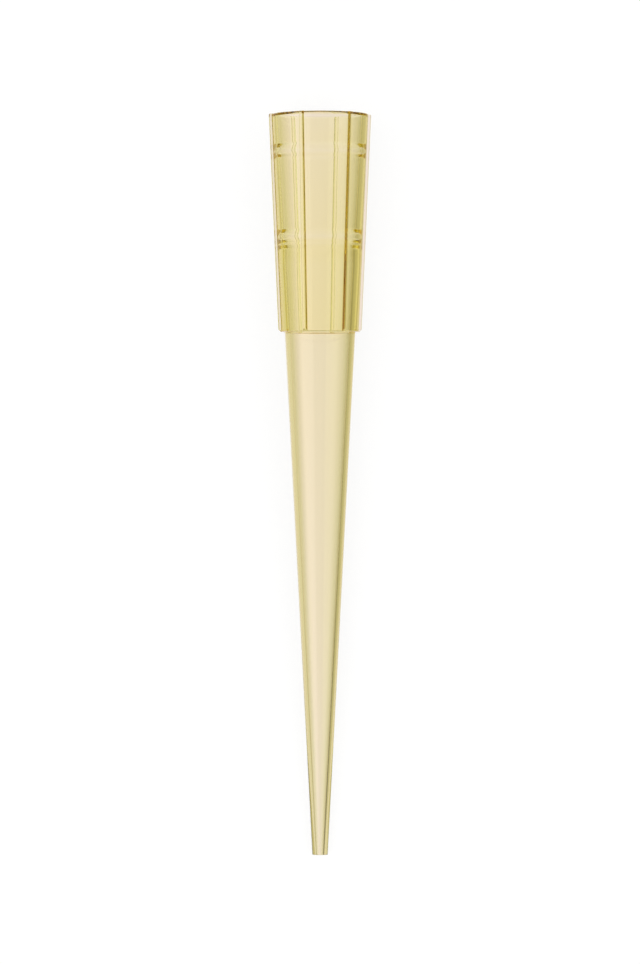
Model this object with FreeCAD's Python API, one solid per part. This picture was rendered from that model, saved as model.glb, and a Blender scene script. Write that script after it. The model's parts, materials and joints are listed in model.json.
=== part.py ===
import FreeCAD, Part
import math
import os

from FreeCAD import Vector

# A universal pipette tip for 200 microlitres: one injection-moulded piece of clear yellow polypropylene.
# A long hollow cone hangs below a ribbed collar, and the collar's socket is pushed onto a pipette's nozzle.
#
# All lengths are millimetres. A station is a height along the tip's own axis, from the point to the rim.
# A depth is measured the other way, from the rim down into the socket.

# Lengths along the axis
BODY_LENGTH = 36.0
COLLAR_LENGTH = 15.0

# The body's bore and wall
ORIFICE_RADIUS = 0.225
POINT_WALL = 0.305
BODY_TOP_WALL = 0.365

# The socket: a short parallel seat that grips the nozzle, with a wider tapered mouth above it
SEAT_RADIUS = 2.31
SEAT_LENGTH = 1.0
SEAT_DEPTH = 9.35
SEAT_LEDGE = 0.11
SEAT_BLEND = 0.30
SOCKET_HALF_ANGLE = 3.0     # degrees, from the seat down to the body
MOUTH_HALF_ANGLE = 3.2      # degrees, from the seat up to the rim
LEAD_IN_WIDTH = 0.20
LEAD_IN_DEPTH = 0.60

# The shallow round-edged grooves round the socket's mouth. An edge's round starts at the groove's full width.
GROOVE_DEPTHS = (2.57, 8.45)
GROOVE_WIDTH = 1.10
GROOVE_HOLLOW = 0.10
GROOVE_EDGE_ROUND = 0.40

# The outside of the collar
RIM_WALL = 0.41
RIM_ROUND = 0.08
FOOT_ROUND = 0.08
SHOULDER_WIDTH = 0.23
SHOULDER_FILLET = 0.12

# The ribs along the collar
RIB_COUNT = 6
RIB_HEIGHT = 0.22
RIB_BASE_WIDTH = 0.29
RIB_CREST_WIDTH = 0.26
RIB_CREST_ROUND = 0.08
RIB_FOOT_CHAMFER = 0.16
RIB_ENVELOPE_GAP = 0.01     # keeps the turned shape that cuts the ribs' ends off their flat crests

# At rest the collar's round foot carries the tip between two ribs. This is how far the nearer rib's middle
# stands from straight down, in degrees: either rib may come this near to the floor before its edge touches.
RESTING_ROLL = 30.0

# Stations and radii that follow from the sizes above
LENGTH = BODY_LENGTH + COLLAR_LENGTH
SEAT_TOP = LENGTH - SEAT_DEPTH
SEAT_FOOT = SEAT_TOP - SEAT_LENGTH
MOUTH_FOOT = SEAT_TOP + SEAT_BLEND
MOUTH_FOOT_RADIUS = SEAT_RADIUS + SEAT_LEDGE
BODY_TOP_BORE = SEAT_RADIUS - (SEAT_FOOT - BODY_LENGTH) * math.tan(math.radians(SOCKET_HALF_ANGLE))
BODY_TOP_RADIUS = BODY_TOP_BORE + BODY_TOP_WALL
POINT_RADIUS = ORIFICE_RADIUS + POINT_WALL


def mouth_radius(station):
    """The radius of the socket's tapered mouth."""
    return MOUTH_FOOT_RADIUS + (station - MOUTH_FOOT) * math.tan(math.radians(MOUTH_HALF_ANGLE))


COLLAR_FOOT_RADIUS = BODY_TOP_RADIUS + SHOULDER_WIDTH
COLLAR_TOP_RADIUS = mouth_radius(LENGTH) + RIM_WALL


def collar_radius(station):
    """The outside radius of the collar between its ribs."""
    share = (station - BODY_LENGTH) / COLLAR_LENGTH
    return COLLAR_FOOT_RADIUS + share * (COLLAR_TOP_RADIUS - COLLAR_FOOT_RADIUS)


def at(radius, station):
    """A point of a half section, which is drawn in the plane y = 0 and turned about Z."""
    return Vector(radius, 0, station)


def toward(start, end, distance):
    """The point that lies a distance along the way from one point to another."""
    return start + (end - start).normalize() * distance


def rounded(before, corner, after, radius):
    """The arc, as its start, middle and end, that rounds the corner between two straight edges."""
    one = (before - corner).normalize()
    other = (after - corner).normalize()
    half_angle = one.getAngle(other) / 2
    setback = radius / math.tan(half_angle)
    centre = corner + (one + other).normalize() * (radius / math.sin(half_angle))
    return corner + one * setback, toward(centre, corner, radius), corner + other * setback


def groove(depth):
    """The arcs of one groove's section from above: a round edge, the hollow and the other edge."""
    middle = at(mouth_radius(LENGTH - depth), LENGTH - depth)
    upper = at(mouth_radius(LENGTH), LENGTH)
    along = (upper - middle).normalize()
    outward = Vector(along.z, 0, -along.x)
    turn = 2 * math.atan(2 * GROOVE_HOLLOW / GROOVE_WIDTH)

    def place(up, out):
        """A point measured from the groove's middle along the wall and outward from it."""
        return middle + along * up + outward * out

    def edge(side, angle):
        """A point of an edge's round, at an angle from where it leaves the wall."""
        reach = GROOVE_WIDTH / 2 - GROOVE_EDGE_ROUND * math.sin(angle)
        return place(side * reach, GROOVE_EDGE_ROUND * (1 - math.cos(angle)))

    floor = place(0, GROOVE_HOLLOW)
    return [
        (edge(1, 0), edge(1, turn / 2), edge(1, turn)),
        (edge(1, turn), floor, edge(-1, turn)),
        (edge(-1, turn), edge(-1, turn / 2), edge(-1, 0)),
    ]


def outlined(steps):
    """The face inside a closed outline. A step is a corner, or an arc as its three points."""
    edges = []
    last = None
    for step in steps:
        arc = step if isinstance(step, tuple) else None
        start = arc[0] if arc else step
        if last is not None and not last.isEqual(start, 1e-7):
            edges.append(Part.LineSegment(last, start).toShape())
        if arc:
            edges.append(Part.Arc(*arc).toShape())
        last = arc[2] if arc else step
    return Part.Face(Part.Wire(edges))


def turned(steps):
    """The solid turned from the outline of a half section."""
    return outlined(steps).revolve(Vector(0, 0, 0), Vector(0, 0, 1), 360)


def plain_tip():
    """The body and the collar, without the ribs."""
    point_inside = at(ORIFICE_RADIUS, 0)
    point_outside = at(POINT_RADIUS, 0)
    neck = at(BODY_TOP_RADIUS, BODY_LENGTH)
    foot = at(COLLAR_FOOT_RADIUS, BODY_LENGTH)
    rim_outside = at(COLLAR_TOP_RADIUS, LENGTH)
    rim_inside = at(mouth_radius(LENGTH) + LEAD_IN_WIDTH, LENGTH)
    return turned([
        point_inside,
        point_outside,
        rounded(point_outside, neck, foot, SHOULDER_FILLET),
        rounded(neck, foot, rim_outside, FOOT_ROUND),
        rounded(foot, rim_outside, rim_inside, RIM_ROUND),
        rim_inside,
        at(mouth_radius(LENGTH - LEAD_IN_DEPTH), LENGTH - LEAD_IN_DEPTH),
        *[arc for depth in sorted(GROOVE_DEPTHS) for arc in groove(depth)],
        at(MOUTH_FOOT_RADIUS, MOUTH_FOOT),
        at(SEAT_RADIUS, SEAT_TOP),
        at(SEAT_RADIUS, SEAT_FOOT),
        at(BODY_TOP_BORE, BODY_LENGTH),
        point_inside,
    ])


def rib_envelope():
    """A solid turned shape that cuts the ribs' ends: a chamfer at the foot and a round at the rim."""
    height = RIB_HEIGHT + RIB_ENVELOPE_GAP
    middle_of_foot = at(0, BODY_LENGTH)
    middle_of_rim = at(0, LENGTH)
    foot = at(COLLAR_FOOT_RADIUS + height, BODY_LENGTH)
    rim = at(COLLAR_TOP_RADIUS + height, LENGTH)
    return turned([
        middle_of_foot,
        toward(foot, middle_of_foot, RIB_FOOT_CHAMFER),
        toward(foot, rim, RIB_FOOT_CHAMFER),
        rounded(foot, rim, middle_of_rim, RIM_ROUND),
        middle_of_rim,
        middle_of_foot,
    ])


def rib_blank():
    """One rib with square ends and a round-edged crest. Its root is in the wall, clear of the rounds."""
    root = COLLAR_FOOT_RADIUS - (FOOT_ROUND + RIM_WALL - LEAD_IN_WIDTH) / 2

    def place(radius, width):
        """A corner of the rib's section at the collar's foot, toward +Y for a positive width."""
        return Vector(radius, width / 2, BODY_LENGTH)

    base = [place(COLLAR_FOOT_RADIUS, side * RIB_BASE_WIDTH) for side in (1, -1)]
    crest = [place(COLLAR_FOOT_RADIUS + RIB_HEIGHT, side * RIB_CREST_WIDTH) for side in (1, -1)]
    section = outlined([
        place(root, RIB_BASE_WIDTH),
        base[0],
        rounded(base[0], crest[0], crest[1], RIB_CREST_ROUND),
        rounded(crest[0], crest[1], base[1], RIB_CREST_ROUND),
        base[1],
        place(root, -RIB_BASE_WIDTH),
        place(root, RIB_BASE_WIDTH),
    ])
    return section.extrude(Vector(COLLAR_TOP_RADIUS - COLLAR_FOOT_RADIUS, 0, COLLAR_LENGTH))


def ribs():
    """The ribs, straight and evenly spaced round the collar. The first stands toward +X."""
    rib = rib_blank().common(rib_envelope())
    copies = []
    for number in range(RIB_COUNT):
        copy = rib.copy()
        copy.rotate(Vector(0, 0, 0), Vector(0, 0, 1), number * 360 / RIB_COUNT)
        copies.append(copy)
    return copies


def lying_angle():
    """How far the axis leans from level, in degrees, when the point and the collar's foot touch a floor."""
    flare = math.atan2(COLLAR_TOP_RADIUS - COLLAR_FOOT_RADIUS, COLLAR_LENGTH)
    round_station = BODY_LENGTH + FOOT_ROUND
    round_radius = collar_radius(round_station) - FOOT_ROUND / math.cos(flare)
    rise = round_radius - POINT_RADIUS
    slope = math.atan2(rise, round_station)
    return math.degrees(slope + math.asin(FOOT_ROUND / math.hypot(rise, round_station)))


def laid_down(tip):
    """The tip at rest on its point and its collar's foot, along Y with the rim toward +Y."""
    tip.rotate(Vector(0, 0, 0), Vector(0, 0, 1), -90 - RESTING_ROLL)
    tip.rotate(Vector(0, 0, 0), Vector(1, 0, 0), lying_angle() - 90)
    box = tip.optimalBoundingBox(False, False)
    tip.translate(Vector(-box.Center.x, -box.Center.y, -box.ZMin))
    return tip


(moulding,) = plain_tip().fuse(ribs()).removeSplitter().Solids
balance = moulding.CenterOfMass.z
pipette_tip = laid_down(moulding)

os.makedirs("parts", exist_ok=True)
pipette_tip.exportStep("parts/pipette_tip.step")

print("valid", pipette_tip.isValid(), "volume", round(pipette_tip.Volume, 3))
print("balance above the point", round(balance, 3), "with the collar's foot at", BODY_LENGTH)
print("lean", round(lying_angle(), 3))
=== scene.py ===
import json
import math

import bpy
from mathutils import Matrix, Vector


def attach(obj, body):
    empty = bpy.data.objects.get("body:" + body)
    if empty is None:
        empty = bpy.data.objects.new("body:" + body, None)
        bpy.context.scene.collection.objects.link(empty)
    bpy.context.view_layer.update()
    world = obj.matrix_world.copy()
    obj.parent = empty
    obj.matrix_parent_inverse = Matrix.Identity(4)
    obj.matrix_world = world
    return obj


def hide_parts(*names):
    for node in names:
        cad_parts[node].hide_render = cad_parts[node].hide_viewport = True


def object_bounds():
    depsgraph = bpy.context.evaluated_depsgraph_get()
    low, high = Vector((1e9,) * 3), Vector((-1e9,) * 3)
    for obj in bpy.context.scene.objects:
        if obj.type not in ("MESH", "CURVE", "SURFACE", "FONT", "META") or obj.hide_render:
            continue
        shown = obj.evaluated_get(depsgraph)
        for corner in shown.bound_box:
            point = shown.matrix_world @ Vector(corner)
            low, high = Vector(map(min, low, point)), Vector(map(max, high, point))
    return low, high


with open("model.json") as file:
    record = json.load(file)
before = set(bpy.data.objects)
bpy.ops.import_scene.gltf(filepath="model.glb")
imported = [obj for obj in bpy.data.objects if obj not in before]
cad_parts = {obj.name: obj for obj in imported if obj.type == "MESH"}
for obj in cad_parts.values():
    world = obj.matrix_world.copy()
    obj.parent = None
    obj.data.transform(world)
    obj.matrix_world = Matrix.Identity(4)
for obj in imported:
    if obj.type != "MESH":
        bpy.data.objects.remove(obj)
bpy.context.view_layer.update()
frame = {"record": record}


# ---------------------------------------------------------------------------------------------------------
# The moulding. The whole tip is one shot of clear yellow polypropylene: a long hollow cone, a ribbed collar
# above it, and a tapered socket in the collar. The polished mould leaves it glossy, with faint lines along it
# where the plastic flowed.

MM = 0.001
BODY_LENGTH = 36.0 * MM
COLLAR_LENGTH = 15.0 * MM
TIP_LENGTH = BODY_LENGTH + COLLAR_LENGTH

ORIFICE_RADIUS = 0.225 * MM
POINT_RADIUS = 0.53 * MM
BODY_TOP_WALL = 0.365 * MM

SEAT_RADIUS = 2.31 * MM
SEAT_LENGTH = 1.0 * MM
SEAT_DEPTH = 9.35 * MM
SEAT_TOP = TIP_LENGTH - SEAT_DEPTH
SEAT_FOOT = SEAT_TOP - SEAT_LENGTH
SEAT_LEDGE = 0.11 * MM
SEAT_BLEND = 0.30 * MM
SOCKET_TAPER = math.tan(math.radians(3.0))
MOUTH_TAPER = math.tan(math.radians(3.2))
LEAD_IN_WIDTH = 0.12 * MM
LEAD_IN_DEPTH = 0.16 * MM

GROOVE_DEPTHS = (2.57 * MM, 8.45 * MM)
GROOVE_WIDTH = 1.10 * MM
GROOVE_HOLLOW = 0.10 * MM
GROOVE_EDGE_ROUND = 0.40 * MM

RIM_WALL = 0.41 * MM
SHOULDER_WIDTH = 0.23 * MM
SHOULDER_FILLET = 0.12 * MM
RIM_ROUND = 0.11 * MM
EDGE_ROUND = 0.08 * MM
FINE_ROUND = 0.03 * MM                # a moulded edge that is called sharp
SEAT_EDGE_ROUND = 3 * FINE_ROUND
FLAT_MARGIN = 1.1                     # how far from a corner a straight starts, in reaches of its curve

RIB_COUNT = 6
RIB_HEIGHT = 0.22 * MM
RIB_BASE_WIDTH = 0.29 * MM
RIB_CREST_WIDTH = 0.26 * MM
RIB_CREST_ROUND = 0.08 * MM
RIB_FOOT_CHAMFER = 0.16 * MM
RESTING_ROLL = math.radians(30)       # from straight down to the nearer rib's middle

MOUTH_FOOT = SEAT_TOP + SEAT_BLEND
BODY_TOP_BORE = SEAT_RADIUS - (SEAT_FOOT - BODY_LENGTH) * SOCKET_TAPER
BODY_TOP_RADIUS = BODY_TOP_BORE + BODY_TOP_WALL
COLLAR_FOOT_RADIUS = BODY_TOP_RADIUS + SHOULDER_WIDTH


def mouth_radius(station):
    """The radius of the socket's mouth at a height along the tip's axis, measured from the point."""
    return SEAT_RADIUS + SEAT_LEDGE + (station - MOUTH_FOOT) * MOUTH_TAPER


COLLAR_TOP_RADIUS = mouth_radius(TIP_LENGTH) + RIM_WALL


def collar_radius(station):
    """The outside radius of the collar between its ribs."""
    share = (station - BODY_LENGTH) / COLLAR_LENGTH
    return COLLAR_FOOT_RADIUS + share * (COLLAR_TOP_RADIUS - COLLAR_FOOT_RADIUS)


def softened(before, corner, after, reach, steps=6):
    """A corner as a short curve, with a close point on each straight beside it so that both stay flat."""
    to_before = (before - corner).normalized()
    to_after = (after - corner).normalized()
    curve = [corner + to_before * reach * FLAT_MARGIN]
    for step in range(steps + 1):
        t = step / steps
        curve.append(corner + to_before * reach * (1 - t) ** 2 + to_after * reach * t ** 2)
    return curve + [corner + to_after * reach * FLAT_MARGIN]


def outline(corners, closed=True):
    """An outline's points from its corners: (radius, station, reach of the soft corner, rows after it)."""
    points = []
    count = len(corners)
    for index, (radius, station, reach, rows_after) in enumerate(corners):
        corner = Vector((radius, station))
        before = Vector(corners[index - 1][:2])
        after = Vector(corners[(index + 1) % count][:2])
        if reach:
            points += softened(before, corner, after, reach)
        else:
            points.append(corner)
        if index + 1 == count and not closed:
            break
        following = corners[(index + 1) % count]
        end = after
        if following[2]:
            end = after + (corner - after).normalized() * following[2] * FLAT_MARGIN
        start = points[-1]
        for row in range(1, rows_after):
            points.append(start.lerp(end, row / rows_after))
    return points


def groove_corners(depth, edge_steps=4, hollow_steps=8):
    """One groove in the mouth's wall from above to below: a round edge, the hollow, and the lower edge."""
    middle = TIP_LENGTH - depth
    turn = 2 * math.atan(2 * GROOVE_HOLLOW / GROOVE_WIDTH)
    hollow_round = GROOVE_WIDTH / 2 / math.sin(turn) - GROOVE_EDGE_ROUND
    half = []
    for step in range(edge_steps):
        angle = turn * step / edge_steps
        up = GROOVE_WIDTH / 2 - GROOVE_EDGE_ROUND * math.sin(angle)
        half.append((up, GROOVE_EDGE_ROUND * (1 - math.cos(angle))))
    for step in range(hollow_steps // 2):
        angle = turn * (1 - 2 * step / hollow_steps)
        half.append((hollow_round * math.sin(angle), GROOVE_HOLLOW - hollow_round * (1 - math.cos(angle))))
    profile = half + [(0, GROOVE_HOLLOW)] + [(-up, hollow) for up, hollow in half[::-1]]
    return [(mouth_radius(middle + up) + hollow, middle + up, 0, 1) for up, hollow in profile]


# How many rows of mesh lie along each straight of the half section.
BODY_ROWS = 30
COLLAR_ROWS = 14
LEAD_IN_ROWS = 4
MOUTH_ROWS = 6
SEAT_ROWS = 2
SOCKET_ROWS = 6


def half_section(rib_height):
    """The tip's half section, cut between the ribs or, with their height, through the middle of one."""
    foot_set_in = RIB_FOOT_CHAMFER if rib_height else 0
    foot_radius = COLLAR_FOOT_RADIUS + rib_height - foot_set_in
    foot_edge = BODY_LENGTH + RIB_FOOT_CHAMFER
    lead_in_foot = TIP_LENGTH - LEAD_IN_DEPTH
    corners = [
        (ORIFICE_RADIUS, 0, FINE_ROUND, 1),
        (POINT_RADIUS, 0, FINE_ROUND, BODY_ROWS),
        (BODY_TOP_RADIUS, BODY_LENGTH, SHOULDER_FILLET, 1),
        (foot_radius, BODY_LENGTH, FINE_ROUND if rib_height else EDGE_ROUND, 1),
        (collar_radius(foot_edge) + rib_height, foot_edge, FINE_ROUND, COLLAR_ROWS),
        (COLLAR_TOP_RADIUS + rib_height, TIP_LENGTH, RIM_ROUND, 1),
        (mouth_radius(TIP_LENGTH) + LEAD_IN_WIDTH, TIP_LENGTH, FINE_ROUND, 1),
        (mouth_radius(lead_in_foot), lead_in_foot, FINE_ROUND, LEAD_IN_ROWS),
    ]
    for depth in GROOVE_DEPTHS:
        places = groove_corners(depth)
        corners += places[:-1]
        corners.append((*places[-1][:3], MOUTH_ROWS))
    corners += [
        (mouth_radius(MOUTH_FOOT), MOUTH_FOOT, FINE_ROUND, 1),
        (SEAT_RADIUS, SEAT_TOP, SEAT_EDGE_ROUND, SEAT_ROWS),
        (SEAT_RADIUS, SEAT_FOOT, FINE_ROUND, SOCKET_ROWS),
        (BODY_TOP_BORE, BODY_LENGTH, FINE_ROUND, BODY_ROWS),
    ]
    return outline(corners)


RIB_SKIRT = 2 * FINE_ROUND            # the skin right beside a rib

# How many lanes of mesh lie across half a crest, one side, one skirt, and half the gap between two ribs.
CREST_LANES = 3
SIDE_LANES = 2
SKIRT_LANES = 2
GAP_LANES = 12


def rib_lanes():
    """Lanes of mesh along a rib and the skin beside it: (sideways, share of the gap, share of the height)."""
    half = outline([
        (0, RIB_HEIGHT, 0, CREST_LANES),
        (RIB_CREST_WIDTH / 2, RIB_HEIGHT, RIB_CREST_ROUND, SIDE_LANES),
        (RIB_BASE_WIDTH / 2, 0, FINE_ROUND, SKIRT_LANES),
        (RIB_BASE_WIDTH / 2 + RIB_SKIRT, 0, 0, 1),
    ], closed=False)
    right = [(sideways, 0, height / RIB_HEIGHT) for sideways, height in half]
    right += [(half[-1].x, lane / GAP_LANES, 0) for lane in range(1, GAP_LANES + 1)]
    left = [(-sideways, share, height) for sideways, share, height in right[1:-1]]
    return left[::-1] + right


between_ribs = half_section(0)
through_rib = half_section(RIB_HEIGHT)

section_mesh = bpy.data.meshes.new("half_section")
section_mesh.from_pydata([(p.x, 0, p.y) for p in between_ribs], [], [])
crest_line = section_mesh.attributes.new("through_rib", "FLOAT_VECTOR", "POINT")
for entry, p in zip(crest_line.data, through_rib):
    entry.vector = (p.x, 0, p.y)
section = bpy.data.objects.new("half_section", section_mesh)
bpy.context.collection.objects.link(section)

lanes_mesh = bpy.data.meshes.new("rib_lanes")
lanes_mesh.from_pydata(rib_lanes(), [], [])
lanes = bpy.data.objects.new("rib_lanes", lanes_mesh)
bpy.context.collection.objects.link(lanes)


POLYPROPYLENE_IOR = 1.49
TINT = (0.957, 0.908, 0.20, 1)        # the body absorbs what each colour lacks of one, times the density
TINT_DENSITY = 700                    # per metre

FLOW_SCALE = 2200                     # ripples per metre across the flow
FLOW_STRETCH = 0.05                   # how many of them along the flow for each one across it
FLOW_STRENGTH = 0.25
FLOW_HEIGHT = 0.002 * MM
HAZE_SCALE = 420                      # duller and glossier patches per metre
HAZE_RANGE = (0.3, 0.7)               # the haze in the glossiest places and in the dullest
GLOSS_RANGE = (0.02, 0.05)            # the skin's roughness there


def clear_plastic():
    """Clear yellow polypropylene: a glossy skin over a body that takes out the blue."""
    plastic = bpy.data.materials.new("clear_yellow_polypropylene")
    plastic.use_nodes = True
    nodes = plastic.node_tree.nodes
    links = plastic.node_tree.links
    nodes.clear()
    output = nodes.new("ShaderNodeOutputMaterial")
    skin = nodes.new("ShaderNodeBsdfPrincipled")
    skin.inputs["Base Color"].default_value = (1, 1, 1, 1)
    skin.inputs["IOR"].default_value = POLYPROPYLENE_IOR
    skin.inputs["Transmission Weight"].default_value = 1.0
    links.new(skin.outputs["BSDF"], output.inputs["Surface"])

    body = nodes.new("ShaderNodeVolumeAbsorption")
    body.inputs["Color"].default_value = TINT
    body.inputs["Density"].default_value = TINT_DENSITY
    links.new(body.outputs["Volume"], output.inputs["Volume"])

    place = nodes.new("ShaderNodeTexCoord")
    along = nodes.new("ShaderNodeMapping")
    along.inputs["Scale"].default_value = (1, FLOW_STRETCH, 1)
    links.new(place.outputs["Object"], along.inputs["Vector"])

    flow = nodes.new("ShaderNodeTexNoise")
    flow.inputs["Scale"].default_value = FLOW_SCALE
    flow.inputs["Detail"].default_value = 3
    links.new(along.outputs["Vector"], flow.inputs["Vector"])
    flow_bump = nodes.new("ShaderNodeBump")
    flow_bump.inputs["Strength"].default_value = FLOW_STRENGTH
    flow_bump.inputs["Distance"].default_value = FLOW_HEIGHT
    links.new(flow.outputs["Fac"], flow_bump.inputs["Height"])
    links.new(flow_bump.outputs["Normal"], skin.inputs["Normal"])

    haze = nodes.new("ShaderNodeTexNoise")
    haze.inputs["Scale"].default_value = HAZE_SCALE
    haze.inputs["Detail"].default_value = 4
    links.new(place.outputs["Object"], haze.inputs["Vector"])
    gloss = nodes.new("ShaderNodeMapRange")
    gloss.inputs["From Min"].default_value = HAZE_RANGE[0]
    gloss.inputs["From Max"].default_value = HAZE_RANGE[1]
    gloss.inputs["To Min"].default_value = GLOSS_RANGE[0]
    gloss.inputs["To Max"].default_value = GLOSS_RANGE[1]
    links.new(haze.outputs["Fac"], gloss.inputs["Value"])
    links.new(gloss.outputs["Result"], skin.inputs["Roughness"])
    return plastic


WELD_DISTANCE = 0.0001 * MM


def turning_tree():
    """Turns a half section about the Z axis, and raises the ribs out of the collar as it goes round."""
    tree = bpy.data.node_groups.new("turned_and_ribbed", "GeometryNodeTree")
    sockets = tree.interface
    sockets.new_socket("Geometry", in_out="INPUT", socket_type="NodeSocketGeometry")
    sockets.new_socket("Rib Lanes", in_out="INPUT", socket_type="NodeSocketObject")
    sockets.new_socket("Ribs", in_out="INPUT", socket_type="NodeSocketInt")
    sockets.new_socket("Foot Radius", in_out="INPUT", socket_type="NodeSocketFloat")
    sockets.new_socket("Plastic", in_out="INPUT", socket_type="NodeSocketMaterial")
    sockets.new_socket("Geometry", in_out="OUTPUT", socket_type="NodeSocketGeometry")
    nodes = tree.nodes
    links = tree.links
    given = nodes.new("NodeGroupInput")
    made = nodes.new("NodeGroupOutput")

    def plug(node, socket, value):
        """Gives a socket a value, or links it to another socket."""
        if isinstance(value, bpy.types.NodeSocket):
            links.new(value, node.inputs[socket])
        else:
            node.inputs[socket].default_value = value

    def maths(operation, first, second=None):
        """A number worked out from one or two others."""
        node = nodes.new("ShaderNodeMath")
        node.operation = operation
        plug(node, 0, first)
        if second is not None:
            plug(node, 1, second)
        return node.outputs[0]

    def point_count(geometry):
        """How many points a geometry has."""
        node = nodes.new("GeometryNodeAttributeDomainSize")
        links.new(geometry, node.inputs["Geometry"])
        return node.outputs["Point Count"]

    def sampled(geometry, value, index):
        """A vector read from one point of a geometry."""
        node = nodes.new("GeometryNodeSampleIndex")
        node.data_type = "FLOAT_VECTOR"
        links.new(geometry, node.inputs["Geometry"])
        links.new(value, node.inputs["Value"])
        links.new(index, node.inputs["Index"])
        return node.outputs["Value"]

    def parts(vector):
        """The three numbers of a vector."""
        node = nodes.new("ShaderNodeSeparateXYZ")
        links.new(vector, node.inputs[0])
        return node.outputs

    outline_geometry = given.outputs["Geometry"]
    lane_object = nodes.new("GeometryNodeObjectInfo")
    links.new(given.outputs["Rib Lanes"], lane_object.inputs["Object"])
    lane_geometry = lane_object.outputs["Geometry"]
    rows = point_count(outline_geometry)
    lane_count = point_count(lane_geometry)
    columns = maths("MULTIPLY", lane_count, given.outputs["Ribs"])

    grid = nodes.new("GeometryNodeMeshGrid")
    links.new(columns, grid.inputs["Size X"])
    links.new(rows, grid.inputs["Size Y"])
    links.new(maths("ADD", columns, 1), grid.inputs["Vertices X"])
    links.new(maths("ADD", rows, 1), grid.inputs["Vertices Y"])
    position = nodes.new("GeometryNodeInputPosition")
    flat = parts(position.outputs[0])
    column = maths("ROUND", maths("ADD", flat["X"], maths("DIVIDE", columns, 2)))
    row = maths("MODULO", maths("ROUND", maths("ADD", flat["Y"], maths("DIVIDE", rows, 2))), rows)
    lane_number = maths("MODULO", column, lane_count)
    rib_number = maths("FLOOR", maths("DIVIDE", maths("ADD", column, 0.5), lane_count))

    crest = nodes.new("GeometryNodeInputNamedAttribute")
    crest.data_type = "FLOAT_VECTOR"
    crest.inputs["Name"].default_value = "through_rib"
    lane = parts(sampled(lane_geometry, position.outputs[0], lane_number))
    blend = nodes.new("ShaderNodeMix")          # its vector sockets are 4, 5 and output 1
    blend.data_type = "VECTOR"
    links.new(lane["Z"], blend.inputs["Factor"])
    links.new(sampled(outline_geometry, position.outputs[0], row), blend.inputs[4])
    links.new(sampled(outline_geometry, crest.outputs["Attribute"], row), blend.inputs[5])
    place = parts(blend.outputs[1])

    reach = maths("MAXIMUM", place["X"], given.outputs["Foot Radius"])
    own_angle = maths("ARCSINE", maths("DIVIDE", maths("ABSOLUTE", lane["X"]), reach))
    half_pitch = maths("DIVIDE", math.pi, given.outputs["Ribs"])
    spare = maths("MULTIPLY", lane["Y"], maths("SUBTRACT", half_pitch, own_angle))
    from_rib = maths("MULTIPLY", maths("SIGN", lane["X"]), maths("ADD", own_angle, spare))
    turn = maths("ADD", from_rib, maths("MULTIPLY", rib_number, maths("MULTIPLY", half_pitch, 2)))
    joined = nodes.new("ShaderNodeCombineXYZ")
    links.new(maths("MULTIPLY", place["X"], maths("COSINE", turn)), joined.inputs["X"])
    links.new(maths("MULTIPLY", place["X"], maths("SINE", turn)), joined.inputs["Y"])
    links.new(place["Z"], joined.inputs["Z"])

    move = nodes.new("GeometryNodeSetPosition")
    links.new(grid.outputs["Mesh"], move.inputs["Geometry"])
    links.new(joined.outputs[0], move.inputs["Position"])
    weld = nodes.new("GeometryNodeMergeByDistance")
    weld.inputs["Distance"].default_value = WELD_DISTANCE
    links.new(move.outputs[0], weld.inputs["Geometry"])
    smooth = nodes.new("GeometryNodeSetShadeSmooth")
    links.new(weld.outputs[0], smooth.inputs["Geometry"])
    real = nodes.new("GeometryNodeRealizeInstances")
    links.new(smooth.outputs[0], real.inputs["Geometry"])
    coat = nodes.new("GeometryNodeSetMaterial")
    links.new(real.outputs[0], coat.inputs["Geometry"])
    links.new(given.outputs["Plastic"], coat.inputs["Material"])
    links.new(coat.outputs[0], made.inputs["Geometry"])
    return tree


tree = turning_tree()
turning = section.modifiers.new("turned", "NODES")
turning.node_group = tree
settings = {
    "Rib Lanes": lanes,
    "Ribs": RIB_COUNT,
    "Foot Radius": COLLAR_FOOT_RADIUS,
    "Plastic": clear_plastic(),
}
for socket in tree.interface.items_tree:
    if socket.in_out == "INPUT" and socket.name in settings:
        turning[socket.identifier] = settings[socket.name]

evaluated = section.evaluated_get(bpy.context.evaluated_depsgraph_get())
moulding_mesh = bpy.data.meshes.new_from_object(evaluated)
moulding_mesh.name = "tip_moulding"
section.modifiers.remove(turning)
bpy.data.objects.remove(section)
bpy.data.objects.remove(lanes)

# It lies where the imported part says: the rim's mount gives the axis and the rim's middle.
rim = next(m for m in frame["record"]["mounts"] if m["name"] == "ejector_face")
axis = Vector(rim["axis"]).normalized()
rim_middle = Vector(rim["pos_m"])
point_middle = rim_middle - axis * TIP_LENGTH
sideways = Vector((1, 0, 0))
upward = sideways.cross(axis)
first_rib = upward * math.cos(RESTING_ROLL) - sideways * math.sin(RESTING_ROLL)
laid = Matrix((first_rib, axis.cross(first_rib), axis)).transposed().to_4x4()
laid.translation = point_middle
moulding_mesh.transform(laid)
moulding_mesh.update()

moulding = bpy.data.objects.new("tip_moulding", moulding_mesh)
bpy.context.collection.objects.link(moulding)
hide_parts("pipette_tip")
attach(moulding, "root")


# ---------------------------------------------------------------------------------------------------------
# The surface that the tip lies on: a white light table. It shows white and keeps the tip's soft shadow, and
# what is seen through the clear plastic or in its gloss is the lit panel below it.

lowest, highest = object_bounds()
middle = (lowest + highest) / 2
TABLE_HALF = 1.6
TABLE_WHITE = (0.95, 0.95, 0.95, 1)
GLOW_SHARE = 0.85                     # how much of the white that the camera sees is glow, not lamp light


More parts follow.
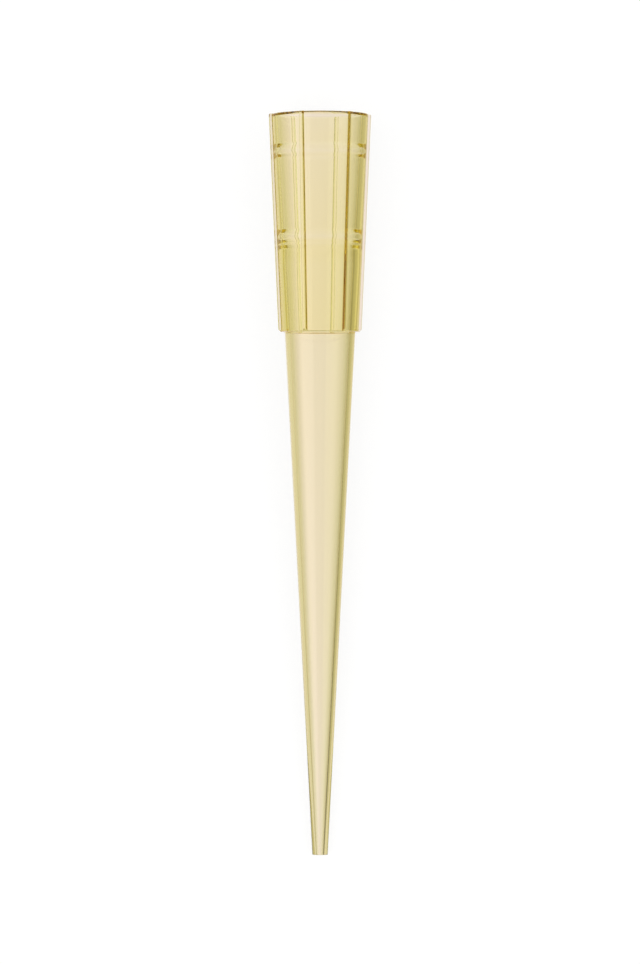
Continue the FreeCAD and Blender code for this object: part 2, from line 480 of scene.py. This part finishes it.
def glowing_white():
    """White that glows to the camera and takes shadows. Rays that left the plastic pass through it."""
    top = bpy.data.materials.new("table_top")
    top.use_nodes = True
    nodes = top.node_tree.nodes
    links = top.node_tree.links
    nodes.clear()
    output = nodes.new("ShaderNodeOutputMaterial")
    lit = nodes.new("ShaderNodeBsdfDiffuse")
    lit.inputs["Color"].default_value = TABLE_WHITE
    glow = nodes.new("ShaderNodeEmission")
    clear = nodes.new("ShaderNodeBsdfTransparent")
    path = nodes.new("ShaderNodeLightPath")

    seen = nodes.new("ShaderNodeMixShader")
    seen.inputs["Fac"].default_value = GLOW_SHARE
    links.new(lit.outputs[0], seen.inputs[1])
    links.new(glow.outputs[0], seen.inputs[2])
    by_camera = nodes.new("ShaderNodeMixShader")
    links.new(path.outputs["Is Camera Ray"], by_camera.inputs["Fac"])
    links.new(lit.outputs[0], by_camera.inputs[1])
    links.new(seen.outputs[0], by_camera.inputs[2])

    left_plastic = nodes.new("ShaderNodeMath")
    left_plastic.operation = "MAXIMUM"
    links.new(path.outputs["Is Transmission Ray"], left_plastic.inputs[0])
    links.new(path.outputs["Is Glossy Ray"], left_plastic.inputs[1])
    through = nodes.new("ShaderNodeMixShader")
    links.new(left_plastic.outputs[0], through.inputs["Fac"])
    links.new(by_camera.outputs[0], through.inputs[1])
    links.new(clear.outputs[0], through.inputs[2])
    links.new(through.outputs[0], output.inputs["Surface"])
    return top


sheet_mesh = bpy.data.meshes.new("table_top")
quarters = [(-1, -1), (1, -1), (1, 1), (-1, 1)]
corners = [(middle.x + x * TABLE_HALF, middle.y + y * TABLE_HALF, lowest.z) for x, y in quarters]
sheet_mesh.from_pydata(corners, [], [(0, 1, 2, 3)])
sheet_mesh.materials.append(glowing_white())
sheet = bpy.data.objects.new("table_top", sheet_mesh)
bpy.context.collection.objects.link(sheet)


# ---------------------------------------------------------------------------------------------------------
# The light. The plastic stands over a lit panel, bright in the middle and shaded at its edges, in a room with
# pale walls, a soft box high on the left and a dimmer ceiling. The camera sees white behind it all, and two
# lamps light the table top.

world = bpy.data.worlds.new("studio")
bpy.context.scene.world = world
world.use_nodes = True
nodes = world.node_tree.nodes
links = world.node_tree.links
nodes.clear()


def number(operation, first, second=None):
    """A number of the room's light worked out from one or two others."""
    node = nodes.new("ShaderNodeMath")
    node.operation = operation
    for place, value in enumerate((first, second)):
        if isinstance(value, bpy.types.NodeSocket):
            links.new(value, node.inputs[place])
        elif value is not None:
            node.inputs[place].default_value = value
    return node.outputs[0]


def spread(value, low, high, at_low, at_high):
    """A smooth change from one level to another while a value goes from low to high."""
    node = nodes.new("ShaderNodeMapRange")
    node.interpolation_type = "SMOOTHSTEP"
    links.new(value, node.inputs["Value"])
    node.inputs["From Min"].default_value = low
    node.inputs["From Max"].default_value = high
    node.inputs["To Min"].default_value = at_low
    node.inputs["To Max"].default_value = at_high
    return node.outputs["Result"]


def mixed(share, first, second):
    """Two colours mixed by a share."""
    node = nodes.new("ShaderNodeMix")           # its colour sockets are 6, 7 and output 2
    node.data_type = "RGBA"
    for place, value in ((0, share), (6, first), (7, second)):
        if isinstance(value, bpy.types.NodeSocket):
            links.new(value, node.inputs[place])
        else:
            node.inputs[place].default_value = (*value, 1)
    return node.outputs[2]


direction = nodes.new("ShaderNodeTexCoord")
ways = nodes.new("ShaderNodeSeparateXYZ")
links.new(direction.outputs["Generated"], ways.inputs[0])
across = ways.outputs["X"]
along = ways.outputs["Y"]
up = ways.outputs["Z"]

WHITE = (1, 1, 1)
CEILING = (0.68, 0.66, 0.62)
WALL = (0.80, 0.76, 0.70)
SOFT_BOX = (1.25, 1.22, 1.20)
PANEL_MIDDLE = (0.91, 0.79, 0.81)
PANEL = (0.76, 0.69, 0.56)
PANEL_EDGE = (0.56, 0.50, 0.31)
LEFT_SHADE = (0.44, 0.39, 0.21)
RIGHT_SHADE = (0.13, 0.10, 0.05)
PALE_END = (0.93, 0.86, 0.82)
END_SHADE = (0.34, 0.26, 0.06)

# What stands round the tip's axis, in degrees from straight down toward its right.
ROUND_THE_TIP = [
    (-150, CEILING),
    (-146, SOFT_BOX), (-104, SOFT_BOX),
    (-80, PANEL_EDGE), (-58, LEFT_SHADE),
    (-36, PANEL), (-12, PANEL), (3, PANEL_MIDDLE), (21, PANEL),
    (40, PANEL_EDGE), (52, PANEL_EDGE), (74, RIGHT_SHADE), (86, RIGHT_SHADE),
    (108, WALL), (140, WALL),
    (160, CEILING),
]

turn = number("ARCTAN2", across, number("MULTIPLY", up, -1))
panel = nodes.new("ShaderNodeValToRGB")
links.new(number("ADD", number("DIVIDE", turn, 2 * math.pi), 0.5), panel.inputs["Fac"])
while len(panel.color_ramp.elements) < len(ROUND_THE_TIP):
    panel.color_ramp.elements.new(0.5)
for element, (angle, colour) in zip(panel.color_ramp.elements, ROUND_THE_TIP):
    element.position = angle / 360 + 0.5
    element.color = (*colour, 1)
round_colour = panel.outputs["Color"]

# Toward the tip's two ends the panel is pale, and low down past each end it is shaded. The gloss shows white
# straight down and toward the ends.
lengthways = number("ABSOLUTE", along)
toward_an_end = spread(lengthways, low=0.20, high=0.45, at_low=0, at_high=1)
past_an_end = spread(lengthways, low=0.40, high=0.50, at_low=0, at_high=1)
below = spread(up, low=-0.55, high=-0.45, at_low=1, at_high=0)
straight_down = spread(up, low=-0.97, high=-0.88, at_low=1, at_high=0)
end_colour = mixed(number("MULTIPLY", past_an_end, below), PALE_END, END_SHADE)
through_plastic = mixed(toward_an_end, round_colour, end_colour)
in_the_gloss = mixed(straight_down, mixed(toward_an_end, round_colour, WHITE), WHITE)

path = nodes.new("ShaderNodeLightPath")
by_plastic = mixed(path.outputs["Is Transmission Ray"], in_the_gloss, through_plastic)
room = nodes.new("ShaderNodeBackground")
links.new(mixed(path.outputs["Is Camera Ray"], by_plastic, WHITE), room.inputs["Color"])
output = nodes.new("ShaderNodeOutputWorld")
links.new(room.outputs[0], output.inputs["Surface"])


def soft_lamp(name, azimuth, elevation, distance, size, power):
    """A square lamp, in degrees, metres and watts. It lights the table top, and isn't seen in the plastic."""
    lamp = bpy.data.lights.new(name, "AREA")
    lamp.size = size
    lamp.energy = power
    a = math.radians(azimuth)
    e = math.radians(elevation)
    back = Vector((math.sin(a) * math.cos(e), -math.cos(a) * math.cos(e), math.sin(e)))
    holder = bpy.data.objects.new(name, lamp)
    holder.location = middle + back * distance
    holder.rotation_mode = "QUATERNION"
    holder.rotation_quaternion = (-back).to_track_quat("-Z", "Y")
    holder.visible_glossy = False
    holder.visible_transmission = False
    bpy.context.collection.objects.link(holder)


soft_lamp("key_lamp", azimuth=-75, elevation=55, distance=0.8, size=0.6, power=2.2)
soft_lamp("fill_lamp", azimuth=75, elevation=50, distance=0.8, size=0.6, power=1.2)


# ---------------------------------------------------------------------------------------------------------
# The camera. It looks down on the tip, square to its axis, with the rim at the top of the picture and a
# little of the white table past each end.

CAMERA_DISTANCE = 0.335
PICTURE_HEIGHT = 0.0664               # what the picture takes in, measured along the tip
CENTRE_STATION = 25.66 * MM           # the place along the tip at the picture's middle
FACING_RIB = math.radians(22)         # how far the nearest rib shows to the left of the camera
SENSOR = 36
BOUNCES = 32                          # light crosses the clear walls many times before it leaves them

camera_data = bpy.data.cameras.new("camera")
camera_data.sensor_width = SENSOR
camera_data.lens = SENSOR / 2 / (PICTURE_HEIGHT / 2 / CAMERA_DISTANCE)
camera_data.clip_start = 0.01
camera_data.clip_end = 10
camera = bpy.data.objects.new("camera", camera_data)
bpy.context.collection.objects.link(camera)
bpy.context.scene.camera = camera

lean = FACING_RIB - RESTING_ROLL
back = upward * math.cos(lean) + sideways * math.sin(lean)
target = point_middle + axis * CENTRE_STATION
right = axis.cross(back)
facing = Matrix((right, axis, back)).transposed().to_4x4()
facing.translation = target + back * CAMERA_DISTANCE
camera.matrix_world = facing

bpy.context.scene.view_settings.view_transform = "Standard"
cycles = bpy.context.scene.cycles
cycles.max_bounces = BOUNCES
cycles.glossy_bounces = BOUNCES
cycles.transmission_bounces = BOUNCES
cycles.transparent_max_bounces = BOUNCES
